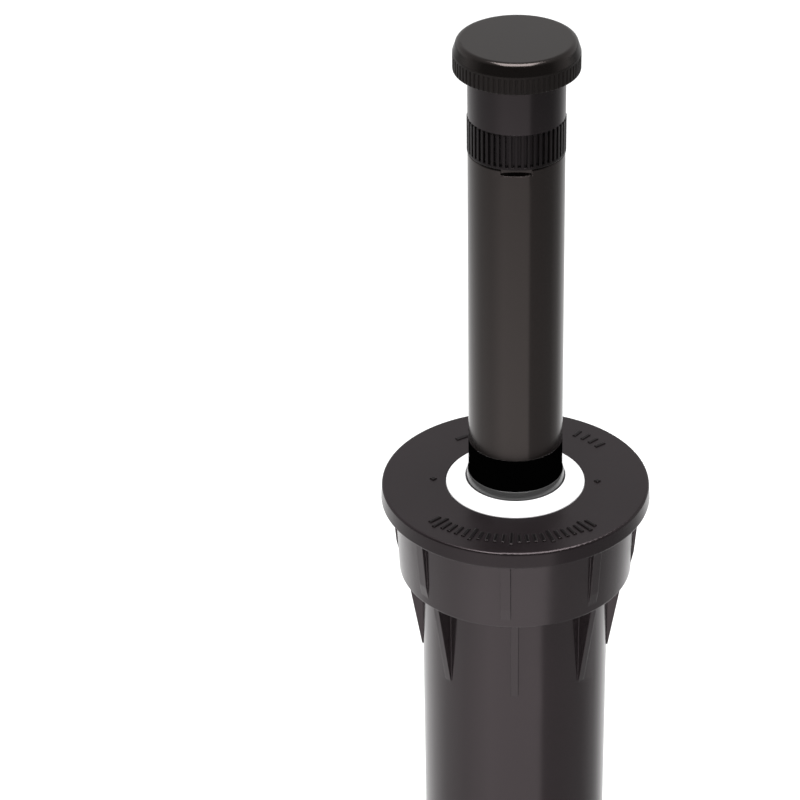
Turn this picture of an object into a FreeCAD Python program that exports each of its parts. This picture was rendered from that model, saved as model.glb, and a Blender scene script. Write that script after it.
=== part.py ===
import FreeCAD, Part
import os
import re
import Sketcher

# Pop-up spray sprinkler with its riser raised and a shut-off plug screwed on top.
# Frame: origin at the middle of the inlet's end face, +Z up along the riser, millimetres.
# The inlet end is at z = 0 and the top face of the cap's flange at z = flange_top.

DIMENSIONS = [
    # shared: how far ribs and ridges sink into their walls, how far cutters
    # overshoot, and the gap left between pieces that rest on each other
    ("root_sink", 0.5),
    ("ridge_sink", 0.15),
    ("cut_over", 0.5),
    ("rest_gap", 0.05),
    # case: buried body tube, open at the rim, with a threaded inlet boss below
    ("inlet_radius", 9.15),
    ("inlet_depth", 15.5),
    ("throat_radius", 8.0),
    ("boss_radius", 13.0),
    ("boss_rib_radius", 17.6),
    ("boss_rib_foot", 16.4),
    ("boss_rib_width", 2.0),
    ("boss_rib_count", 8),
    ("shoulder_height", 17.0),
    ("shoulder_chamfer", 1.5),
    ("floor_height", 19.4),
    ("case_low_radius", 19.95),
    ("case_top_radius", 20.25),
    ("case_wall", 2.2),
    ("case_rim", 143.0),
    ("gusset_top", 130.4),
    ("gusset_height", 20.7),
    ("gusset_radius", 23.95),
    ("gusset_foot", 0.5),
    ("gusset_width", 1.6),
    ("gusset_count", 8),
    ("guide_rib_radius", 15.9),
    ("guide_rib_width", 1.6),
    ("guide_rib_top", 140.8),
    ("guide_rib_count", 4),
    ("key_width", 4.0),
    ("key_depth", 1.7),
    ("key_play", 0.4),
    ("key_count", 2),
    # coarse thread between case and cap: ridges half a pitch apart
    ("cap_pitch", 4.0),
    ("ridge_root", 1.6),
    ("ridge_crest", 0.8),
    ("ridge_start", 131.0),
    ("case_ridge_height", 1.3),
    ("case_ridge_rise", 8.8),
    ("cap_ridge_rise", 10.0),
    # cap: flange, tapered gripping skirt and clamp ring
    ("flange_top", 152.0),
    ("flange_radius", 28.85),
    ("flange_edge", 3.8),
    ("flange_draft", 0.25),
    ("flange_round", 0.5),
    ("flange_plate", 3.0),
    ("seal_hole_radius", 15.0),
    ("skirt_top_radius", 25.9),
    ("skirt_low_radius", 25.1),
    ("skirt_bore_radius", 22.25),
    ("skirt_end_height", 130.8),
    ("clamp_inner_radius", 17.0),
    ("clamp_outer_radius", 20.2),
    ("clamp_height", 145.9),
    ("cap_ridge_radius", 20.95),
    ("grip_rib_radius", 26.9),
    ("grip_rib_low_radius", 25.8),
    ("grip_rib_width", 2.2),
    ("grip_rib_bend", 135.9),
    ("grip_rib_end", 132.5),
    ("grip_rib_count", 8),
    ("cap_clocking", -4.4),
    # seals round the riser
    ("wiper_bore_radius", 10.15),
    ("wiper_lip_radius", 10.6),
    ("wiper_lip_top", 155.7),
    ("wiper_flange_radius", 16.3),
    ("seal_flange", 1.4),
    ("seal_ring_foot", 16.5),
    ("seal_ring_radius", 14.85),
    ("seal_ring_bore", 10.7),
    ("seal_ring_edge", 152.15),
    ("seal_ring_crown", 153.5),
    ("case_seal_inner", 19.35),
    ("case_seal_height", 2.6),
    # spring seat and retraction spring
    ("seat_bore_radius", 10.6),
    ("seat_collar_radius", 17.2),
    ("seat_flange_radius", 19.0),
    ("seat_bottom", 141.4),
    ("seat_ledge", 143.1),
    ("seat_top", 145.6),
    ("spring_radius", 13.4),
    ("wire_radius", 0.65),
    ("spring_pitch", 1.615),
    ("spring_turns", 12),
    ("spring_gap", 0.3),
    # ratchet ring, keyed to the case ribs
    ("ratchet_bore_radius", 10.4),
    ("ratchet_radius", 16.6),
    ("ratchet_bottom", 118.3),
    ("ratchet_top", 120.3),
    ("notch_radius", 15.5),
    ("notch_width", 2.4),
    ("tooth_inner", 11.5),
    ("tooth_outer", 15.0),
    ("tooth_width", 1.0),
    ("tooth_height", 0.75),
    ("ratchet_tooth_count", 24),
    # riser: smooth tube on a matt lower sleeve with a foot
    ("riser_radius", 10.0),
    ("riser_end_radius", 9.9),
    ("riser_bore", 8.0),
    ("riser_bore_cone", 3.0),
    ("riser_round", 0.3),
    ("foot_radius", 15.5),
    ("foot_bottom", 113.6),
    ("foot_top", 116.6),
    ("base_bore", 7.8),
    ("base_top", 162.9),
    ("socket_radius", 9.15),
    ("socket_floor", 147.8),
    ("spigot_radius", 9.1),
    ("spigot_end", 149.0),
    ("oring_radius", 8.63),
    ("oring_section", 0.5),
    ("snap_groove_radius", 9.4),
    ("snap_groove_bottom", 120.6),
    ("snap_groove_width", 1.1),
    ("snap_ring_radius", 11.6),
    ("snap_ring_play", 0.1),
    ("snap_ring_sweep", 330),
    ("riser_top", 231.1),
    ("neck_radius", 7.35),
    ("neck_top", 238.3),
    ("neck_bore", 6.0),
    ("rim_slot_width", 6.3),
    ("rim_slot_depth", 1.2),
    ("rim_slot_radius", 8.9),
    # fine thread between riser neck and plug: ridges half a pitch apart
    ("plug_pitch", 0.907),
    ("fine_root", 0.5),
    ("fine_crest", 0.15),
    ("fine_start", 232.1),
    ("neck_ridge_radius", 7.9),
    ("plug_ridge_radius", 7.65),
    ("neck_ridge_turns", 5),
    ("plug_ridge_turns", 6),
    # filter hanging in the riser neck
    ("filter_flange_radius", 7.3),
    ("filter_flange", 0.8),
    ("filter_collar_radius", 5.7),
    ("filter_collar_height", 2.2),
    ("filter_leg_radius", 5.4),
    ("filter_leg_width", 1.2),
    ("filter_leg_count", 4),
    ("filter_bore", 4.7),
    ("filter_bottom", 216.9),
    ("filter_foot", 1.2),
    ("filter_foot_lip", 0.25),
    ("filter_leg_gap", 0.3),
    ("mesh_outer", 4.6),
    ("mesh_inner", 4.25),
    # shut-off plug
    ("gasket_inner", 5.6),
    ("gasket_outer", 7.95),
    ("gasket_bottom", 239.4),
    ("gasket_height", 1.1),
    ("plug_bottom", 231.3),
    ("plug_bore", 8.15),
    ("plug_ceiling", 240.8),
    ("plug_wall", 2.0),
    ("knurl_radius", 10.05),
    ("knurl_top", 238.7),
    ("knurl_ledge", 0.2),
    ("knurl_depth", 0.6),
    ("knurl_gap", 0.66),
    ("knurl_rim", 0.5),
    ("knurl_count", 50),
    ("plug_neck_radius", 9.9),
    ("plug_neck_bore", 7.9),
    ("head_bottom", 249.1),
    ("head_radius", 12.85),
    ("head_shoulder", 252.9),
    ("head_crown_radius", 12.0),
    ("head_top", 255.5),
    ("head_crown_round", 1.2),
    ("head_shoulder_round", 0.8),
    ("head_foot_round", 0.3),
    ("head_spigot_radius", 7.85),
    ("head_spigot_bore", 6.4),
    ("head_spigot_end", 245.0),
    ("head_roof", 252.9),
    ("head_flute_depth", 0.16),
    ("head_flute_drop", 0.35),
    ("head_flute_gap", 0.5),
    ("head_flute_count", 72),
]

doc = FreeCAD.newDocument("PopUpSprinkler")
sheet = doc.addObject("Spreadsheet::Sheet", "Dims")


def fill_sheet():
    for row, (alias, size) in enumerate(DIMENSIONS, start=1):
        sheet.set(f"A{row}", alias)
        sheet.set(f"B{row}", str(size))
        sheet.setAlias(f"B{row}", alias)
    doc.recompute()


def bound(expression):
    """The expression with each cell's alias written as the sheet's property."""
    return re.sub(r"[a-z_]{3,}", lambda word: "Dims." + word.group(), str(expression))


def value(expression):
    return float(sheet.evalExpression(bound(expression)))


def origin_feature(body, role):
    return [item for item in body.Origin.OriginFeatures if item.Role == role][0]


def new_body(label):
    body = doc.addObject("PartDesign::Body", label)
    body.Label = label
    return body


def attach(body, name, plane):
    sketch = body.newObject("Sketcher::SketchObject", f"{body.Label}_{name}")
    sketch.AttachmentSupport = [(origin_feature(body, plane), "")]
    sketch.MapMode = "FlatFace"
    return sketch


def bind_point(sketch, kind, geometry, position, expression):
    index = sketch.addConstraint(
        Sketcher.Constraint(kind, -1, 1, geometry, position, value(expression)))
    sketch.setExpression(f"Constraints[{index}]", bound(expression))


def outline(body, name, plane, points):
    """Closed straight-sided sketch whose corners (across, up) are bound to the sheet."""
    sketch = attach(body, name, plane)
    corners = [FreeCAD.Vector(value(across), value(up), 0) for across, up in points]
    count = len(corners)
    for index in range(count):
        following = corners[(index + 1) % count]
        sketch.addGeometry(Part.LineSegment(corners[index], following), False)
    for index in range(count):
        sketch.addConstraint(
            Sketcher.Constraint("Coincident", index, 2, (index + 1) % count, 1))
    for index, (across, up) in enumerate(points):
        bind_point(sketch, "DistanceX", index, 1, across)
        bind_point(sketch, "DistanceY", index, 1, up)
    doc.recompute()
    return sketch


def revolve(body, name, points, sweep=None):
    """Solid turned about Z from (radius, height) corners."""
    sketch = outline(body, name, "XZ_Plane", points)
    turned = body.newObject("PartDesign::Revolution", f"{body.Label}_{name}_turned")
    turned.Profile = sketch
    turned.ReferenceAxis = (sketch, ["V_Axis"])
    if sweep:
        turned.setExpression("Angle", bound(sweep))
    doc.recompute()
    return turned


def helix(body, name, points, pitch, rise):
    """Right-handed ridge swept up from (radius, height) corners at azimuth zero."""
    sketch = outline(body, name, "XZ_Plane", points)
    ridge = body.newObject("PartDesign::AdditiveHelix", f"{body.Label}_{name}_ridge")
    ridge.Profile = sketch
    ridge.ReferenceAxis = (sketch, ["V_Axis"])
    ridge.Mode = "pitch-height-angle"
    ridge.setExpression("Pitch", bound(pitch))
    ridge.setExpression("Height", bound(rise))
    doc.recompute()
    return ridge


def rib(body, name, points, width, plane="XZ_Plane"):
    """Flat rib lying in a plane through the axis, half its width to each side."""
    sketch = outline(body, name, plane, points)
    pad = body.newObject("PartDesign::Pad", f"{body.Label}_{name}_rib")
    pad.Profile = sketch
    pad.SideType = "Symmetric"
    pad.setExpression("Length", bound(width))
    doc.recompute()
    return pad


def slot(body, name, points, width, plane="XZ_Plane"):
    """Cut lying in a plane through the axis, half its width to each side."""
    before = body.Shape.Volume
    sketch = outline(body, name, plane, points)
    cut = body.newObject("PartDesign::Pocket", f"{body.Label}_{name}_slot")
    cut.Profile = sketch
    cut.SideType = "Symmetric"
    cut.setExpression("Length", bound(width))
    doc.recompute()
    if body.Shape.Volume > before - 1e-3:
        raise RuntimeError(f"{body.Label}: {name} cuts nothing")
    return cut


def around(body, feature, count):
    """Repeat a feature evenly about Z."""
    pattern = body.newObject("PartDesign::PolarPattern", f"{feature.Name}_ring")
    pattern.Originals = [feature]
    pattern.Axis = (origin_feature(body, "Z_Axis"), [""])
    pattern.Angle = 360
    pattern.setExpression("Occurrences", bound(count))
    body.Tip = pattern
    doc.recompute()
    return pattern


def round_edges(body, name, radius, circles):
    """Round the circular edges about Z at the given (radius, height) pairs."""
    base = body.Tip
    names = []
    for index, edge in enumerate(base.Shape.Edges, start=1):
        if not isinstance(edge.Curve, Part.Circle):
            continue
        for across, up in circles:
            same_radius = abs(edge.Curve.Radius - value(across)) < 0.01
            if same_radius and abs(edge.Curve.Center.z - value(up)) < 0.01:
                names.append(f"Edge{index}")
    fillet = body.newObject("PartDesign::Fillet", f"{body.Label}_{name}_round")
    fillet.Base = (base, names)
    fillet.setExpression("Radius", bound(radius))
    doc.recompute()
    return fillet


def ridge_outline(root, crest, start, root_width, crest_width):
    """Trapezoid from its root radius to its crest radius."""
    slope = f"({root_width} - {crest_width}) / 2"
    return [
        (root, start),
        (crest, f"{start} + {slope}"),
        (crest, f"{start} + {slope} + {crest_width}"),
        (root, f"{start} + {root_width}"),
    ]


def make_case():
    body = new_body("case")
    revolve(body, "wall", [
        ("inlet_radius", 0),
        ("boss_radius", 0),
        ("boss_radius", "shoulder_height"),
        ("case_low_radius - shoulder_chamfer", "shoulder_height"),
        ("case_low_radius", "shoulder_height + shoulder_chamfer"),
        ("case_top_radius", "gusset_top"),
        ("case_top_radius", "case_rim"),
        ("case_top_radius - case_wall", "case_rim"),
        ("case_low_radius - case_wall", "floor_height"),
        ("throat_radius", "floor_height"),
        ("throat_radius", "inlet_depth"),
        ("inlet_radius", "inlet_depth"),
    ])
    boss_rib = rib(body, "boss", [
        ("boss_radius - root_sink", 0),
        ("boss_rib_foot", 0),
        ("boss_rib_radius", "shoulder_height / 4"),
        ("boss_rib_radius", "shoulder_height + root_sink"),
        ("boss_radius - root_sink", "shoulder_height + root_sink"),
    ], "boss_rib_width")
    around(body, boss_rib, "boss_rib_count")
    gusset = rib(body, "gusset", [
        ("case_low_radius - root_sink", "gusset_top - gusset_height"),
        ("case_low_radius + gusset_foot", "gusset_top - gusset_height"),
        ("gusset_radius", "gusset_top"),
        ("case_low_radius - root_sink", "gusset_top"),
    ], "gusset_width")
    around(body, gusset, "gusset_count")
    guide = rib(body, "guide", [
        ("guide_rib_radius", "floor_height - root_sink"),
        ("case_low_radius - case_wall + root_sink", "floor_height - root_sink"),
        ("case_top_radius - case_wall + root_sink", "guide_rib_top"),
        ("guide_rib_radius", "guide_rib_top"),
    ], "guide_rib_width")
    around(body, guide, "guide_rib_count")
    helix(body, "thread", ridge_outline(
        "case_top_radius - ridge_sink", "case_top_radius + case_ridge_height",
        "ridge_start", "ridge_root", "ridge_crest"), "cap_pitch", "case_ridge_rise")
    key = slot(body, "key", [
        ("seat_collar_radius", "case_rim - key_depth"),
        ("case_top_radius + cut_over", "case_rim - key_depth"),
        ("case_top_radius + cut_over", "case_rim + cut_over"),
        ("seat_collar_radius", "case_rim + cut_over"),
    ], "key_width")
    around(body, key, "key_count")
    return body


def make_case_seal():
    body = new_body("case_seal")
    revolve(body, "ring", [
        ("case_seal_inner", "case_rim + rest_gap"),
        ("clamp_outer_radius", "case_rim + rest_gap"),
        ("clamp_outer_radius", "case_rim + rest_gap + case_seal_height"),
        ("case_seal_inner", "case_rim + rest_gap + case_seal_height"),
    ])
    return body


def make_body_cap():
    body = new_body("body_cap")
    revolve(body, "shell", [
        ("seal_hole_radius", "flange_top - flange_plate"),
        ("seal_hole_radius", "flange_top"),
        ("flange_radius - flange_draft", "flange_top"),
        ("flange_radius", "flange_top - flange_edge"),
        ("skirt_top_radius", "flange_top - flange_edge"),
        ("skirt_low_radius", "skirt_end_height"),
        ("skirt_bore_radius", "skirt_end_height"),
        ("skirt_bore_radius", "flange_top - flange_plate"),
        ("clamp_outer_radius", "flange_top - flange_plate"),
        ("clamp_outer_radius", "clamp_height"),
        ("clamp_inner_radius", "clamp_height"),
        ("clamp_inner_radius", "flange_top - flange_plate"),
    ])
    round_edges(body, "rim", "flange_round", [
        ("flange_radius - flange_draft", "flange_top"),
        ("flange_radius", "flange_top - flange_edge"),
        ("skirt_low_radius", "skirt_end_height"),
    ])
    grip = rib(body, "grip", [
        ("skirt_low_radius - root_sink", "grip_rib_end"),
        ("skirt_low_radius", "grip_rib_end"),
        ("grip_rib_low_radius", "grip_rib_bend"),
        ("grip_rib_radius", "flange_top - flange_edge + root_sink"),
        ("skirt_low_radius - root_sink", "flange_top - flange_edge + root_sink"),
    ], "grip_rib_width")
    around(body, grip, "grip_rib_count")
    helix(body, "thread", ridge_outline(
        "skirt_bore_radius + ridge_sink", "cap_ridge_radius",
        "ridge_start + cap_pitch / 2", "ridge_root", "ridge_crest"),
        "cap_pitch", "cap_ridge_rise")
    body.setExpression("Placement.Rotation.Angle", bound("cap_clocking"))
    return body


def make_seal_ring():
    body = new_body("seal_ring")
    bottom = "(clamp_height + seal_flange + 2 * rest_gap)"
    revolve(body, "ring", [
        ("seal_ring_bore", bottom),
        ("seal_ring_foot", bottom),
        ("seal_ring_foot", f"{bottom} + seal_flange"),
        ("seal_ring_radius", f"{bottom} + seal_flange"),
        ("seal_ring_radius", "seal_ring_edge"),
        ("seal_ring_bore", "seal_ring_crown"),
    ])
    round_edges(body, "edge", "riser_round", [("seal_ring_radius", "seal_ring_edge")])
    return body


def make_wiper_seal():
    body = new_body("wiper_seal")
    revolve(body, "lip", [
        ("wiper_bore_radius", "clamp_height"),
        ("wiper_flange_radius", "clamp_height"),
        ("wiper_flange_radius", "clamp_height + seal_flange"),
        ("wiper_lip_radius", "clamp_height + seal_flange"),
        ("wiper_lip_radius", "wiper_lip_top"),
        ("wiper_bore_radius", "wiper_lip_top"),
    ])
    return body


def make_spring_seat():
    body = new_body("spring_seat")
    revolve(body, "ring", [
        ("seat_bore_radius", "seat_bottom"),
        ("seat_collar_radius", "seat_bottom"),
        ("seat_collar_radius", "seat_ledge"),
        ("seat_flange_radius", "seat_ledge"),
        ("seat_flange_radius", "seat_top"),
        ("seat_bore_radius", "seat_top"),
    ])
    key = rib(body, "key", [
        ("seat_collar_radius - root_sink", "case_rim - key_depth + key_play"),
        ("seat_flange_radius", "case_rim - key_depth + key_play"),
        ("seat_flange_radius", "seat_ledge + root_sink"),
        ("seat_collar_radius - root_sink", "seat_ledge + root_sink"),
    ], "key_width - 2 * key_play")
    around(body, key, "key_count")
    return body


def make_retraction_spring():
    body = new_body("retraction_spring")
    sketch = attach(body, "wire", "XZ_Plane")
    start = "(ratchet_top + spring_gap + wire_radius)"
    middle = FreeCAD.Vector(value("spring_radius"), value(start), 0)
    normal = FreeCAD.Vector(0, 0, 1)
    sketch.addGeometry(Part.Circle(middle, normal, value("wire_radius")), False)
    bind_point(sketch, "DistanceX", 0, 3, "spring_radius")
    bind_point(sketch, "DistanceY", 0, 3, start)
    size = sketch.addConstraint(Sketcher.Constraint("Radius", 0, value("wire_radius")))
    sketch.setExpression(f"Constraints[{size}]", bound("wire_radius"))
    doc.recompute()
    coil = body.newObject("PartDesign::AdditiveHelix", "retraction_spring_coil")
    coil.Profile = sketch
    coil.ReferenceAxis = (sketch, ["V_Axis"])
    coil.Mode = "pitch-turns-angle"
    coil.setExpression("Pitch", bound("spring_pitch"))
    coil.setExpression("Turns", bound("spring_turns"))
    doc.recompute()
    return body


def make_ratchet_ring():
    body = new_body("ratchet_ring")
    revolve(body, "ring", [
        ("ratchet_bore_radius", "ratchet_bottom"),
        ("ratchet_radius", "ratchet_bottom"),
        ("ratchet_radius", "ratchet_top"),
        ("ratchet_bore_radius", "ratchet_top"),
    ])
    notch = slot(body, "notch", [
        ("notch_radius", "ratchet_bottom - cut_over"),
        ("ratchet_radius + cut_over", "ratchet_bottom - cut_over"),
        ("ratchet_radius + cut_over", "ratchet_top + cut_over"),
        ("notch_radius", "ratchet_top + cut_over"),
    ], "notch_width")
    around(body, notch, "guide_rib_count")
    tooth = rib(body, "tooth", [
        ("tooth_inner", "ratchet_bottom - tooth_height"),
        ("tooth_outer", "ratchet_bottom - tooth_height"),
        ("tooth_outer", "ratchet_bottom + root_sink"),
        ("tooth_inner", "ratchet_bottom + root_sink"),
    ], "tooth_width")
    around(body, tooth, "ratchet_tooth_count")
    return body


def make_riser_base():
    body = new_body("riser_base")
    groove_top = "snap_groove_bottom + snap_groove_width"
    revolve(body, "sleeve", [
        ("base_bore", "foot_bottom"),
        ("foot_radius", "foot_bottom"),
        ("foot_radius", "foot_top"),
        ("riser_radius", "foot_top"),
        ("riser_radius", "snap_groove_bottom"),
        ("snap_groove_radius", "snap_groove_bottom"),
        ("snap_groove_radius", groove_top),
        ("riser_radius", groove_top),
        ("riser_radius", "base_top"),
        ("socket_radius", "base_top"),
        ("socket_radius", "socket_floor"),
        ("base_bore", "socket_floor"),
    ])
    tooth = rib(body, "tooth", [
        ("tooth_inner", "foot_top - root_sink"),
        ("tooth_outer", "foot_top - root_sink"),
        ("tooth_outer", "foot_top + tooth_height"),
        ("tooth_inner", "foot_top + tooth_height"),
    ], "tooth_width")
    around(body, tooth, "ratchet_tooth_count")
    return body


def make_snap_ring():
    body = new_body("snap_ring")
    low = "snap_groove_bottom + snap_ring_play"
    high = "snap_groove_bottom + snap_groove_width - snap_ring_play"
    revolve(body, "ring", [
        ("snap_groove_radius + rest_gap", low),
        ("snap_ring_radius", low),
        ("snap_ring_radius", high),
        ("snap_groove_radius + rest_gap", high),
    ], "snap_ring_sweep")
    return body


def make_riser_oring():
    ring = doc.addObject("Part::Torus", "riser_oring")
    ring.Label = "riser_oring"
    ring.setExpression("Radius1", bound("oring_radius"))
    ring.setExpression("Radius2", bound("oring_section"))
    ring.setExpression("Placement.Base.z", bound("socket_floor + oring_section + 2 * rest_gap"))
    return ring


def make_riser_tube():
    body = new_body("riser_tube")
    revolve(body, "tube", [
        ("riser_bore", "spigot_end"),
        ("spigot_radius", "spigot_end"),
        ("spigot_radius", "base_top + rest_gap"),
        ("riser_radius", "base_top + rest_gap"),
        ("riser_end_radius", "riser_top"),
        ("neck_radius", "riser_top"),
        ("neck_radius", "neck_top"),
        ("neck_bore", "neck_top"),
        ("neck_bore", "riser_top"),
        ("riser_bore", "riser_top - riser_bore_cone"),
    ])
    round_edges(body, "rim", "riser_round", [("riser_end_radius", "riser_top")])
    slot(body, "rim", [
        ("-riser_radius - cut_over", "riser_top - rim_slot_depth"),
        ("-rim_slot_radius", "riser_top - rim_slot_depth"),
        ("-rim_slot_radius", "riser_top + cut_over"),
        ("-riser_radius - cut_over", "riser_top + cut_over"),
    ], "rim_slot_width", "YZ_Plane")
    helix(body, "thread", ridge_outline(
        "neck_radius - ridge_sink", "neck_ridge_radius",
        "fine_start", "fine_root", "fine_crest"),
        "plug_pitch", "plug_pitch * neck_ridge_turns")
    return body


def make_filter_frame():
    body = new_body("filter_frame")
    seat = "(neck_top + rest_gap)"
    revolve(body, "flange", [
        ("filter_bore", f"{seat} - filter_collar_height"),
        ("filter_collar_radius", f"{seat} - filter_collar_height"),
        ("filter_collar_radius", seat),
        ("filter_flange_radius", seat),
        ("filter_flange_radius", f"{seat} + filter_flange"),
        ("filter_bore", f"{seat} + filter_flange"),
    ])
    leg = rib(body, "leg", [
        ("mesh_outer + filter_leg_gap", "filter_bottom + root_sink"),
        ("filter_leg_radius", "filter_bottom + root_sink"),
        ("filter_leg_radius", f"{seat} - filter_collar_height + root_sink"),
        ("mesh_outer + filter_leg_gap", f"{seat} - filter_collar_height + root_sink"),
    ], "filter_leg_width")
    around(body, leg, "filter_leg_count")
    revolve(body, "foot", [
        (0, "filter_bottom"),
        ("filter_leg_radius + filter_foot_lip", "filter_bottom"),
        ("filter_leg_radius + filter_foot_lip", "filter_bottom + filter_foot"),
        (0, "filter_bottom + filter_foot"),
    ])
    return body


def make_filter_mesh():
    body = new_body("filter_mesh")
    revolve(body, "sleeve", [
        ("mesh_inner", "filter_bottom + filter_foot + rest_gap"),
        ("mesh_outer", "filter_bottom + filter_foot + rest_gap"),
        ("mesh_outer", "neck_top"),
        ("mesh_inner", "neck_top"),
    ])
    return body


def make_plug_gasket():
    body = new_body("plug_gasket")
    revolve(body, "ring", [
        ("gasket_inner", "gasket_bottom"),
        ("gasket_outer", "gasket_bottom"),
        ("gasket_outer", "gasket_bottom + gasket_height"),
        ("gasket_inner", "gasket_bottom + gasket_height"),
    ])
    return body


def make_plug_base():
    body = new_body("plug_base")
    revolve(body, "shell", [
        ("plug_bore", "plug_bottom"),
        ("knurl_radius", "plug_bottom"),
        ("knurl_radius", "knurl_top"),
        ("plug_neck_radius", "knurl_top + knurl_ledge"),
        ("plug_neck_radius", "head_bottom"),
        ("plug_neck_bore", "head_bottom"),
        ("plug_neck_bore", "plug_ceiling + plug_wall"),
        (0, "plug_ceiling + plug_wall"),
        (0, "plug_ceiling"),
        ("plug_bore", "plug_ceiling"),
    ])
    groove = slot(body, "knurl", [
        ("knurl_radius - knurl_depth", "plug_bottom + knurl_rim"),
        ("knurl_radius + cut_over", "plug_bottom + knurl_rim"),
        ("knurl_radius + cut_over", "knurl_top + knurl_ledge"),
        ("knurl_radius - knurl_depth", "knurl_top + knurl_ledge"),
    ], "knurl_gap")
    around(body, groove, "knurl_count")
    helix(body, "thread", ridge_outline(
        "plug_bore + ridge_sink", "plug_ridge_radius",
        "fine_start - plug_pitch / 2", "fine_root", "fine_crest"),
        "plug_pitch", "plug_pitch * plug_ridge_turns")
    return body


def make_plug_head():
    body = new_body("plug_head")
    revolve(body, "shell", [
        (0, "head_roof"),
        ("head_spigot_bore", "head_roof"),
        ("head_spigot_bore", "head_spigot_end"),
        ("head_spigot_radius", "head_spigot_end"),
        ("head_spigot_radius", "head_bottom + rest_gap"),
        ("head_radius", "head_bottom + rest_gap"),
        ("head_radius", "head_shoulder"),
        ("head_crown_radius", "head_top"),
        (0, "head_top"),
    ])
    round_edges(body, "crown", "head_crown_round", [("head_crown_radius", "head_top")])
    round_edges(body, "shoulder", "head_shoulder_round", [
        ("head_radius", "head_shoulder"),
    ])
    round_edges(body, "foot", "head_foot_round", [
        ("head_radius", "head_bottom + rest_gap"),
    ])
    flute = slot(body, "flute", [
        ("head_radius - head_flute_depth", "head_bottom - cut_over"),
        ("head_radius + cut_over", "head_bottom - cut_over"),
        ("head_radius + cut_over", "head_shoulder - head_flute_drop"),
        ("head_radius - head_flute_depth", "head_shoulder - head_flute_drop"),
    ], "head_flute_gap")
    around(body, flute, "head_flute_count")
    return body


MAKERS = [
    make_case, make_case_seal, make_body_cap, make_seal_ring, make_wiper_seal,
    make_spring_seat, make_retraction_spring, make_ratchet_ring, make_riser_base,
    make_snap_ring, make_riser_oring, make_riser_tube, make_filter_frame,
    make_filter_mesh, make_plug_gasket, make_plug_base, make_plug_head,
]


def check(pieces):
    for item in doc.Objects:
        if "Invalid" in item.State or "Error" in item.State:
            raise RuntimeError(f"{item.Name} failed: {item.State}")
    for piece in pieces:
        if piece.Shape.isNull() or not piece.Shape.isValid():
            raise RuntimeError(f"{piece.Label} has no valid shape")
        if len(piece.Shape.Solids) != 1:
            raise RuntimeError(f"{piece.Label} has {len(piece.Shape.Solids)} solids")


def write(pieces):
    os.makedirs("parts", exist_ok=True)
    for piece in pieces:
        piece.Shape.exportStep(f"parts/{piece.Label}.step")
        print(f"{piece.Label}: {piece.Shape.Volume:.1f} mm3")


fill_sheet()
sub_parts = [maker() for maker in MAKERS]
doc.recompute()
check(sub_parts)
write(sub_parts)
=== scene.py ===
import math

import bmesh
import bpy
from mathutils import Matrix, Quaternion, Vector
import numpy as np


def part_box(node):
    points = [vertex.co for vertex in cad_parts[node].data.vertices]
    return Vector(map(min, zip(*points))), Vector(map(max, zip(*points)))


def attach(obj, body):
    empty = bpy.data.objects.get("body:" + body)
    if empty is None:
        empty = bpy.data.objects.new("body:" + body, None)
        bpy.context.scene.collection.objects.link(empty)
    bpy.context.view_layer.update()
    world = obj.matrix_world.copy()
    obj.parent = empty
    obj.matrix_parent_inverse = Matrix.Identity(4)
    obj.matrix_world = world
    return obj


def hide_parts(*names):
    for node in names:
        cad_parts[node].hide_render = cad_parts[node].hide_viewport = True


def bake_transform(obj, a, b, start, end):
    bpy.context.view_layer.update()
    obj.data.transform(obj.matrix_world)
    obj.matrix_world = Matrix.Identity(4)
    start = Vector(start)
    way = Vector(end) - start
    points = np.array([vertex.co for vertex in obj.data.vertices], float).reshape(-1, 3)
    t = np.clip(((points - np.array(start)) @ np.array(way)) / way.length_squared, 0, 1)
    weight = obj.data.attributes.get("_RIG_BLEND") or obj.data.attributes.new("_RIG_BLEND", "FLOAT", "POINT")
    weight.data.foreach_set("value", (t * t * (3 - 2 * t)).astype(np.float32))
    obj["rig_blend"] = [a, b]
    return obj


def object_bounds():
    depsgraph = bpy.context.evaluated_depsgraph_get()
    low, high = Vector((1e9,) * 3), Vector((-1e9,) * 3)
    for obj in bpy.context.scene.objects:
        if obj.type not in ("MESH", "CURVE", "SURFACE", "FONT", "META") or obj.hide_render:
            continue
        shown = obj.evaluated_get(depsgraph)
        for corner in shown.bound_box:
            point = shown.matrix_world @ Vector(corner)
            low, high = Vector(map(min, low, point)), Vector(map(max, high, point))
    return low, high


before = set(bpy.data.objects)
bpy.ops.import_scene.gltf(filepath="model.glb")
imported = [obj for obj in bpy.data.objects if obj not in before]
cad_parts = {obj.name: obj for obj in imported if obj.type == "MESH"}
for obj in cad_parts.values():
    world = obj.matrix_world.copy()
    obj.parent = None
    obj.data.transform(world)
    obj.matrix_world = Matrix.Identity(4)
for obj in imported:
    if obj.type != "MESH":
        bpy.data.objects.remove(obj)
cad_low, cad_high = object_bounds()

MM = 0.001
TURN = 2 * math.pi
KNURL_HEIGHT = 7.45 * MM        # knurled skirt of the plug, below its smooth neck
FLANGE_EDGE = 3.9 * MM          # height of the flange's side
CROWN_HEIGHT = 2.6 * MM         # the plug's crown, above its fluted side
INLET_RADIUS = 9.15 * MM        # inlet bore at the thread's crests


# ---------------------------------------------------------------- places from the frame

def radius_of(node):
    low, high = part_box(node)
    return max(high.x, high.y)


FLANGE_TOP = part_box("body_cap")[1].z
FLANGE_RADIUS = radius_of("body_cap")
HEAD_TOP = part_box("plug_head")[1].z
RISER_RADIUS = radius_of("riser_tube")
LIP_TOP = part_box("wiper_seal")[1].z
KNURL_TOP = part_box("plug_base")[0].z + KNURL_HEIGHT
WIPER_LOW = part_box("wiper_seal")[0].z
WIPER_RADIUS = radius_of("wiper_seal")


# ---------------------------------------------------------------- materials

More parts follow.
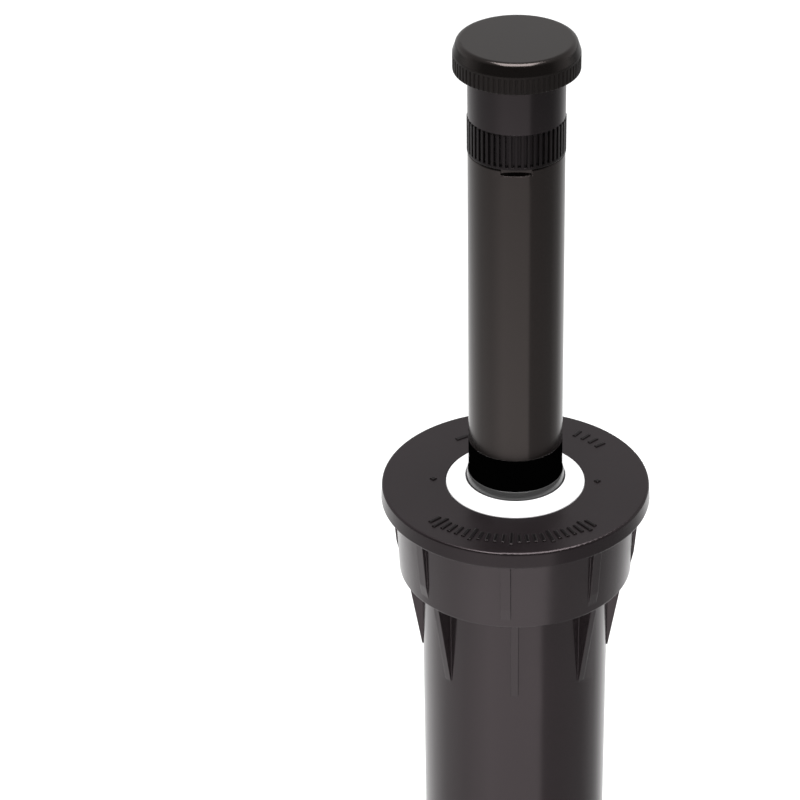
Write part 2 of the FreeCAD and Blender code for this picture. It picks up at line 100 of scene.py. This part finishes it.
class Nodes:
    """A material's node tree with short ways to add and join nodes."""

    def __init__(self, name):
        self.material = bpy.data.materials.new(name)
        self.material.use_nodes = True
        self.tree = self.material.node_tree
        self.shader = self.tree.nodes["Principled BSDF"]

    def add(self, kind, **values):
        node = self.tree.nodes.new(kind)
        for name, value in values.items():
            if hasattr(node, name):
                setattr(node, name, value)
            else:
                node.inputs[name.replace("_", " ").capitalize()].default_value = value
        return node

    def join(self, source, output, target, socket):
        self.tree.links.new(source.outputs[output], target.inputs[socket])

    def noise(self, scale, detail=3.0, stretch=(1, 1, 1)):
        place = self.add("ShaderNodeTexCoord")
        mapping = self.add("ShaderNodeMapping")
        mapping.inputs["Scale"].default_value = stretch
        texture = self.add("ShaderNodeTexNoise")
        texture.inputs["Scale"].default_value = scale
        texture.inputs["Detail"].default_value = detail
        self.join(place, "Object", mapping, "Vector")
        self.join(mapping, "Vector", texture, "Vector")
        return texture

    def spread(self, texture, low, high):
        change = self.add("ShaderNodeMapRange")
        change.clamp = False
        change.inputs["From Min"].default_value = 0.3
        change.inputs["From Max"].default_value = 0.7
        change.inputs["To Min"].default_value = low
        change.inputs["To Max"].default_value = high
        self.join(texture, "Fac", change, "Value")
        return change

    def above(self, height, lower_value, upper_value):
        place = self.add("ShaderNodeTexCoord")
        split = self.add("ShaderNodeSeparateXYZ")
        step = self.add("ShaderNodeMapRange")
        step.inputs["From Min"].default_value = height - 0.1 * MM
        step.inputs["From Max"].default_value = height + 0.1 * MM
        step.inputs["To Min"].default_value = lower_value
        step.inputs["To Max"].default_value = upper_value
        self.join(place, "Object", split, "Vector")
        self.join(split, "Z", step, "Value")
        return step


def moulded(name, tint, roughness, shade=0.12, streak=0.0, grain=0.1, soft_edge=0.25,
            gleam=0.5, sheen_tint=(1, 1, 1, 1), upper_gleam=None, upper_roughness=None):
    """Moulded plastic or rubber: cloudy tint, uneven gloss, fine grain and softened edges.

    upper_gleam and upper_roughness are (height, value above it), for a part of the piece
    that is finished differently from what lies below.
    """
    nodes = Nodes(name)
    shader = nodes.shader
    shader.inputs["Specular IOR Level"].default_value = gleam
    shader.inputs["Specular Tint"].default_value = sheen_tint
    if upper_gleam:
        step = nodes.above(upper_gleam[0], gleam, upper_gleam[1])
        nodes.join(step, "Result", shader, "Specular IOR Level")

    tone = nodes.spread(nodes.noise(45, 4), 1 - shade, 1 + shade)
    drawn_tone = nodes.spread(nodes.noise(260, 3, (1, 1, 0.03)), 1 - streak, 1 + streak)
    both = nodes.add("ShaderNodeMath", operation="MULTIPLY")
    nodes.join(tone, "Result", both, 0)
    nodes.join(drawn_tone, "Result", both, 1)
    colour = nodes.add("ShaderNodeVectorMath", operation="SCALE")
    colour.inputs[0].default_value = tint
    nodes.join(both, "Value", colour, "Scale")
    nodes.join(colour, "Vector", shader, "Base Color")

    gloss = nodes.spread(nodes.noise(110, 5), 0.88, 1.12)
    uneven = nodes.add("ShaderNodeMath", operation="MULTIPLY")
    uneven.inputs[1].default_value = roughness
    nodes.join(gloss, "Result", uneven, 0)
    if upper_roughness:
        step = nodes.above(upper_roughness[0], roughness, upper_roughness[1])
        nodes.join(step, "Result", uneven, 1)
    nodes.join(uneven, "Value", shader, "Roughness")

    bump = nodes.add("ShaderNodeBump")
    bump.inputs["Strength"].default_value = grain
    bump.inputs["Distance"].default_value = 0.03 * MM
    nodes.join(nodes.noise(2600, 2), "Fac", bump, "Height")
    bevel = nodes.add("ShaderNodeBevel")
    bevel.inputs["Radius"].default_value = soft_edge * MM
    nodes.join(bevel, "Normal", bump, "Normal")
    nodes.join(bump, "Normal", shader, "Normal")
    return nodes.material


def drawn_wire():
    nodes = Nodes("drawn_wire")
    nodes.shader.inputs["Metallic"].default_value = 1.0
    lines = nodes.noise(900, 2)
    tone = nodes.spread(lines, 0.45, 0.62)
    nodes.join(tone, "Result", nodes.shader, "Base Color")
    gloss = nodes.spread(lines, 0.22, 0.36)
    nodes.join(gloss, "Result", nodes.shader, "Roughness")
    return nodes.material


def floor_paper():
    nodes = Nodes("floor_paper")
    tone = nodes.spread(nodes.noise(3, 2), 0.88, 0.9)
    nodes.join(tone, "Result", nodes.shader, "Base Color")
    nodes.shader.inputs["Roughness"].default_value = 0.9
    nodes.shader.inputs["Specular IOR Level"].default_value = 0.1
    return nodes.material


def make_materials():
    warm = (1.0, 0.85, 0.89, 1)
    brown = (1.0, 0.86, 0.83, 1)
    return {
        "case": moulded("case_plastic", (0.0075, 0.005, 0.0058), 0.17, streak=0.08,
                        sheen_tint=warm, gleam=0.56),
        "cap": moulded("cap_plastic", (0.0085, 0.0065, 0.0072), 0.22, grain=0.2,
                       sheen_tint=warm, gleam=0.6,
                       upper_gleam=(FLANGE_TOP - FLANGE_EDGE, 0.38),
                       upper_roughness=(FLANGE_TOP - 0.05 * MM, 0.4)),
        "ticks": moulded("tick_plastic", (0.003, 0.0025, 0.0027), 0.35, sheen_tint=warm,
                         gleam=0.25),
        "riser": moulded("riser_plastic", (0.0055, 0.0045, 0.004), 0.15, streak=0.07,
                         sheen_tint=brown, gleam=0.54),
        # Painted shade: the riser's base sleeve is dark plastic, but it is given a near-black finish with no
        # reflection at all so that its band at the riser's foot reads as the shadow there.
        "sleeve": moulded("sleeve_painted_shade", (0.0008, 0.0008, 0.0008), 0.8, gleam=0.0),
        "plug": moulded("plug_plastic", (0.0035, 0.003, 0.0031), 0.34, sheen_tint=warm,
                        gleam=0.26, upper_gleam=(KNURL_TOP, 0.52),
                        upper_roughness=(KNURL_TOP, 0.18)),
        "head": moulded("head_plastic", (0.0035, 0.003, 0.0027), 0.55, sheen_tint=brown,
                        gleam=0.34, upper_gleam=(HEAD_TOP - CROWN_HEIGHT, 0.48),
                        upper_roughness=(HEAD_TOP - CROWN_HEIGHT, 0.17)),
        "pale": moulded("pale_plastic", (0.93, 0.925, 0.93), 0.4, shade=0.01),
        "grey": moulded("grey_rubber", (0.062, 0.062, 0.062), 0.16, shade=0.06, grain=0.05,
                        soft_edge=0.08, gleam=0.85),
        "black": moulded("black_rubber", (0.012, 0.012, 0.012), 0.5),
        "filter": moulded("filter_plastic", (0.62, 0.62, 0.6), 0.45, shade=0.03),
        "wire": drawn_wire(),
    }


NODE_FINISH = {
    "case": "case", "case_seal": "black", "body_cap": "cap", "seal_ring": "pale",
    "wiper_seal": "grey", "spring_seat": "black", "retraction_spring": "wire",
    # riser_base takes the sleeve finish, near-black without reflection: painted shade at the riser's foot.
    "ratchet_ring": "pale", "riser_base": "sleeve", "snap_ring": "black",
    "riser_oring": "black", "riser_tube": "riser", "filter_frame": "filter",
    "filter_mesh": "filter", "plug_gasket": "black", "plug_base": "plug",
    "plug_head": "head",
}


def finish_nodes(materials):
    for name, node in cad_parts.items():
        node.data.materials.clear()
        node.data.materials.append(materials[NODE_FINISH[name]])


# ---------------------------------------------------------------- mesh makers

def new_piece(name, mesh, material, body):
    piece = bpy.data.objects.new(name, mesh)
    bpy.context.scene.collection.objects.link(piece)
    piece.data.materials.append(material)
    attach(piece, body)
    return piece


def mesh_from(name, build):
    """A mesh filled in by build(bm), with its normals outward."""
    bm = bmesh.new()
    build(bm)
    bmesh.ops.recalc_face_normals(bm, faces=bm.faces)
    mesh = bpy.data.meshes.new(name)
    bm.to_mesh(mesh)
    bm.free()
    return mesh


def turned(profile, segments=160):
    """build(bm) for a closed (radius, height) outline turned about Z."""
    def build(bm):
        rings = []
        for step in range(segments):
            angle = TURN * step / segments
            rings.append([bm.verts.new((r * math.cos(angle), r * math.sin(angle), z))
                          for r, z in profile])
        for step in range(segments):
            here, ahead = rings[step], rings[(step + 1) % segments]
            for index in range(len(profile)):
                after = (index + 1) % len(profile)
                face = bm.faces.new((here[index], here[after], ahead[after], ahead[index]))
                face.smooth = True
    return build


def swept(path, section):
    """build(bm) for a (radial, up) section carried along points (radius, angle, height)."""
    def build(bm):
        rings = []
        for radius, angle, height in path:
            rings.append([bm.verts.new(((radius + across) * math.cos(angle),
                                        (radius + across) * math.sin(angle), height + up))
                          for across, up in section])
        for here, ahead in zip(rings, rings[1:]):
            for index in range(len(section)):
                after = (index + 1) % len(section)
                face = bm.faces.new((here[index], here[after], ahead[after], ahead[index]))
                face.smooth = True
        bm.faces.new(rings[0][::-1])
        bm.faces.new(rings[-1])
    return build


def raised_bar(bm, middle, length, width, height, along):
    """A low pad with a narrower top, lying on a level face and turned by the angle along."""
    corners = []
    for level, inset in ((-0.05 * MM, 0), (height * 0.6, 0), (height, height * 0.5)):
        for sx, sy in ((-1, -1), (1, -1), (1, 1), (-1, 1)):
            x = sx * (length / 2 - inset)
            y = sy * (width / 2 - inset)
            corners.append(bm.verts.new((
                middle[0] + x * math.cos(along) - y * math.sin(along),
                middle[1] + x * math.sin(along) + y * math.cos(along),
                middle[2] + level)))
    for low in (0, 4):
        for side in range(4):
            after = (side + 1) % 4
            bm.faces.new((corners[low + side], corners[low + after],
                          corners[low + 4 + after], corners[low + 4 + side]))
    bm.faces.new(corners[0:4][::-1])
    bm.faces.new(corners[8:12])


# ---------------------------------------------------------------- pieces

def front_angle(degrees):
    """Angle about Z of a place that many degrees to the right of the front, -Y."""
    return math.radians(degrees - 90)


def flange_ticks(materials):
    """Plain raised ticks on the flange, with two pips and a dash for lining it up."""
    def build(bm):
        def at(radius, degrees):
            angle = front_angle(degrees)
            return (radius * math.cos(angle), radius * math.sin(angle), FLANGE_TOP)
        for index in range(23):
            degrees = -47 + index * 4.1
            length = (4.4 if index % 5 == 1 else 3.0) * MM
            raised_bar(bm, at(0.8 * FLANGE_RADIUS, degrees), length, 0.8 * MM,
                       0.3 * MM, front_angle(degrees))
        for index in range(4):
            degrees = 128 + index * 5.5
            raised_bar(bm, at(0.81 * FLANGE_RADIUS, degrees), 2.6 * MM, 0.8 * MM,
                       0.2 * MM, front_angle(degrees))
        raised_bar(bm, at(0.72 * FLANGE_RADIUS, -146), 1.0 * MM, 3.2 * MM,
                   0.2 * MM, front_angle(-146))
        for degrees in (-91, 89):
            raised_bar(bm, at(0.61 * FLANGE_RADIUS, degrees), 1.1 * MM, 1.1 * MM,
                       0.25 * MM, front_angle(degrees + 45))
    new_piece("flange_ticks", mesh_from("flange_ticks", build), materials["ticks"],
              "cap")


def wiper_lip(materials):
    """The rubber wiper: a smooth lip that leans in to the riser, on a wide foot."""
    bore = RISER_RADIUS + 0.07 * MM
    foot = RISER_RADIUS + 0.47 * MM
    ring_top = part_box("seal_ring")[1].z
    top = LIP_TOP - 0.35 * MM
    rim = 0.08 * MM
    profile = [
        (bore + 0.3 * MM, WIPER_LOW), (WIPER_RADIUS, WIPER_LOW),
        (WIPER_RADIUS, WIPER_LOW + 1.3 * MM), (foot, WIPER_LOW + 1.3 * MM),
        (foot, ring_top + 0.1 * MM),
    ]
    for step in range(7):
        angle = math.pi * step / 6
        profile.append((bore + rim + rim * math.cos(angle),
                        top - rim + rim * math.sin(angle)))
    profile.append((bore + 0.02 * MM, top - 0.9 * MM))
    piece = new_piece("wiper_lip", mesh_from("wiper_lip", turned(profile)),
                      materials["grey"], "cap")
    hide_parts("wiper_seal")


def inlet_thread(materials):
    """Pipe thread inside the inlet, a V ridge on the wall."""
    pitch = 1.814 * MM
    turns = 7
    steps = 60
    path = []
    for step in range(turns * steps + 1):
        angle = TURN * step / steps
        ease = min(1, step / steps, (turns * steps - step) / steps)
        sink = (1 - ease) * 0.4 * MM
        path.append((INLET_RADIUS + sink, angle, 1.2 * MM + pitch * angle / TURN))
    section = [(0.12 * MM, -0.7 * MM), (-0.38 * MM, -0.08 * MM), (-0.38 * MM, 0.08 * MM),
               (0.12 * MM, 0.7 * MM)]
    new_piece("inlet_thread", mesh_from("inlet_thread", swept(path, section)),
              materials["case"], "housing")


def stretching_spring(materials):
    """The retraction spring as one coil whose lower end goes down with the ratchet ring."""
    low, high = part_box("retraction_spring")
    wire = 0.65 * MM
    middle = high.x - wire
    turns = 12
    steps = 48
    height = high.z - low.z - 2 * wire
    sides = 12
    section = [(wire * math.cos(TURN * side / sides), wire * math.sin(TURN * side / sides))
               for side in range(sides)]
    path = []
    for step in range(turns * steps + 1):
        share = step / (turns * steps)
        path.append((middle, TURN * turns * share, low.z + wire + height * share))
    mesh = mesh_from("coil_spring", swept(path, section))
    piece = bpy.data.objects.new("coil_spring", mesh)
    bpy.context.scene.collection.objects.link(piece)
    mesh.materials.append(materials["wire"])
    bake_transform(piece, "carrier", "guide", start=(0, 0, high.z), end=(0, 0, low.z))
    weights = []
    for radius, angle, level in path:
        weights += [(path[-1][2] - level) / height] * sides
    mesh.attributes["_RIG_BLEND"].data.foreach_set("value", weights)
    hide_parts("retraction_spring")


# ---------------------------------------------------------------- stage

CAMERA_DISTANCE = 0.69
CAMERA_ELEVATION = math.radians(32.5)
FRAME_SHARE = 0.2488        # the frame's width over the camera's distance
AIM_RIGHT = 0.1445          # shares of the frame's width from its middle to the flange
AIM_DOWN = 0.0993
CAMERA_LEAN = math.radians(0.25)


def make_camera():
    data = bpy.data.cameras.new("camera")
    camera = bpy.data.objects.new("camera", data)
    bpy.context.scene.collection.objects.link(camera)
    back = Vector((0, -math.cos(CAMERA_ELEVATION), math.sin(CAMERA_ELEVATION)))
    camera.location = Vector((0, 0, FLANGE_TOP)) + back * CAMERA_DISTANCE
    data.sensor_width = 36
    data.lens = data.sensor_width / FRAME_SHARE
    facing = (-back).to_track_quat("-Z", "Y")
    aside = Quaternion((0, 1, 0), math.atan(AIM_RIGHT * FRAME_SHARE))
    lift = Quaternion((1, 0, 0), math.atan(AIM_DOWN * FRAME_SHARE))
    lean = Quaternion((0, 0, 1), CAMERA_LEAN)
    camera.rotation_mode = "QUATERNION"
    camera.rotation_quaternion = facing @ aside @ lift @ lean
    data.clip_start = 0.01
    data.clip_end = 50
    bpy.context.scene.camera = camera


def area_light(name, place, target, size, power):
    data = bpy.data.lights.new(name, "AREA")
    data.shape = "RECTANGLE"
    data.size, data.size_y = size
    data.energy = power
    light = bpy.data.objects.new(name, data)
    bpy.context.scene.collection.objects.link(light)
    light.location = place
    light.rotation_mode = "QUATERNION"
    light.rotation_quaternion = (Vector(target) - Vector(place)).to_track_quat("-Z", "Y")


# Brightness of the room by height of view, behind the object and on the camera's side.
ROOM_BEHIND = [(0.0, 0.7), (0.45, 0.62), (0.75, 0.4), (1.0, 0.4)]
ROOM_BEFORE = [(0.0, 0.1), (0.55, 0.04), (0.75, 0.3), (1.0, 0.4)]


def tone_ramp(nodes, tones):
    """A grey ramp through (place, tone) pairs."""
    ramp = nodes.new("ShaderNodeValToRGB")
    stops = ramp.color_ramp.elements
    while len(stops) < len(tones):
        stops.new(0.5)
    for stop, (place, tone) in zip(stops, tones):
        stop.position = place
    for stop, (place, tone) in zip(stops, tones):
        stop.color = (tone, tone, tone, 1)
    return ramp


def make_room():
    """Soft surroundings: a pale wall behind the object, a dim room on the camera's side."""
    world = bpy.data.worlds.new("studio")
    world.use_nodes = True
    nodes = world.node_tree.nodes
    links = world.node_tree.links
    direction = nodes.new("ShaderNodeTexCoord")
    split = nodes.new("ShaderNodeSeparateXYZ")
    links.new(direction.outputs["Generated"], split.inputs["Vector"])
    behind = tone_ramp(nodes, ROOM_BEHIND)
    before = tone_ramp(nodes, ROOM_BEFORE)
    links.new(split.outputs["Z"], behind.inputs["Fac"])
    links.new(split.outputs["Z"], before.inputs["Fac"])
    depth = nodes.new("ShaderNodeMapRange")
    depth.inputs["From Min"].default_value = -0.45
    depth.inputs["From Max"].default_value = 0.25
    links.new(split.outputs["Y"], depth.inputs["Value"])
    blend = nodes.new("ShaderNodeMix")
    links.new(depth.outputs["Result"], blend.inputs["Factor"])
    links.new(before.outputs["Color"], blend.inputs["A"])
    links.new(behind.outputs["Color"], blend.inputs["B"])
    links.new(blend.outputs["Result"], nodes["Background"].inputs["Color"])
    bpy.context.scene.world = world


def make_lights():
    area_light("overhead_light", (0, -0.25, 1.6), (0, 0, 0), (1.1, 1.1), 40)
    bpy.context.scene.view_settings.view_transform = "Standard"


def make_floor():
    def build(bm):
        bmesh.ops.create_grid(bm, x_segments=8, y_segments=8, size=6)
    mesh = mesh_from("floor", build)
    floor = bpy.data.objects.new("floor", mesh)
    bpy.context.scene.collection.objects.link(floor)
    floor.location.z = cad_low.z
    floor.data.materials.append(floor_paper())


# Tone of the table as the plastic mirrors it, by degrees to the right of the front (-Y).
TABLE_TONES = [
    (-90, 0.55), (-60, 0.58), (-30, 0.84), (30, 0.8), (34, 0.33), (90, 0.25),
    (115, 0.4), (140, 0.8), (210, 0.85), (235, 0.8), (269, 0.55),
]
# How that tone changes with the distance from the object's axis, in metres.
TABLE_FADE = [(0.09, 0.88), (0.2, 1.0), (0.6, 0.5), (1.0, 0.5)]


def make_table_cards():
    """Grey cards on the table round the object, seen only in its reflections."""
    def build(bm):
        steps = 72
        rings = []
        for radius in (0.024, 2.5):
            rings.append([bm.verts.new((radius * math.cos(TURN * step / steps),
                                        radius * math.sin(TURN * step / steps), 0))
                          for step in range(steps)])
        for step in range(steps):
            after = (step + 1) % steps
            bm.faces.new((rings[0][step], rings[1][step], rings[1][after], rings[0][after]))
    mesh = mesh_from("table_cards", build)
    cards = bpy.data.objects.new("table_cards", mesh)
    bpy.context.scene.collection.objects.link(cards)
    cards.location.z = cad_low.z + 0.2 * MM
    cards.visible_camera = False
    cards.visible_diffuse = False
    cards.visible_shadow = False

    nodes = Nodes("card_paper")
    place = nodes.add("ShaderNodeTexCoord")
    around = nodes.add("ShaderNodeTexGradient", gradient_type="RADIAL")
    ramp = tone_ramp(nodes.tree.nodes,
                     [((degrees + 90) / 360, tone) for degrees, tone in TABLE_TONES])
    nodes.join(place, "Object", around, "Vector")
    nodes.join(around, "Color", ramp, "Fac")

    reach = nodes.add("ShaderNodeVectorMath", operation="LENGTH")
    nodes.join(place, "Object", reach, 0)
    fade = tone_ramp(nodes.tree.nodes, TABLE_FADE)
    nodes.join(reach, "Value", fade, "Fac")
    dim = nodes.add("ShaderNodeVectorMath", operation="SCALE")
    nodes.join(ramp, "Color", dim, 0)
    nodes.join(fade, "Color", dim, "Scale")
    nodes.join(dim, "Vector", nodes.shader, "Base Color")
    nodes.shader.inputs["Roughness"].default_value = 1.0
    nodes.shader.inputs["Specular IOR Level"].default_value = 0.0
    cards.data.materials.append(nodes.material)


materials = make_materials()
finish_nodes(materials)
flange_ticks(materials)
wiper_lip(materials)
inlet_thread(materials)
stretching_spring(materials)
make_camera()
make_room()
make_lights()
make_floor()
make_table_cards()
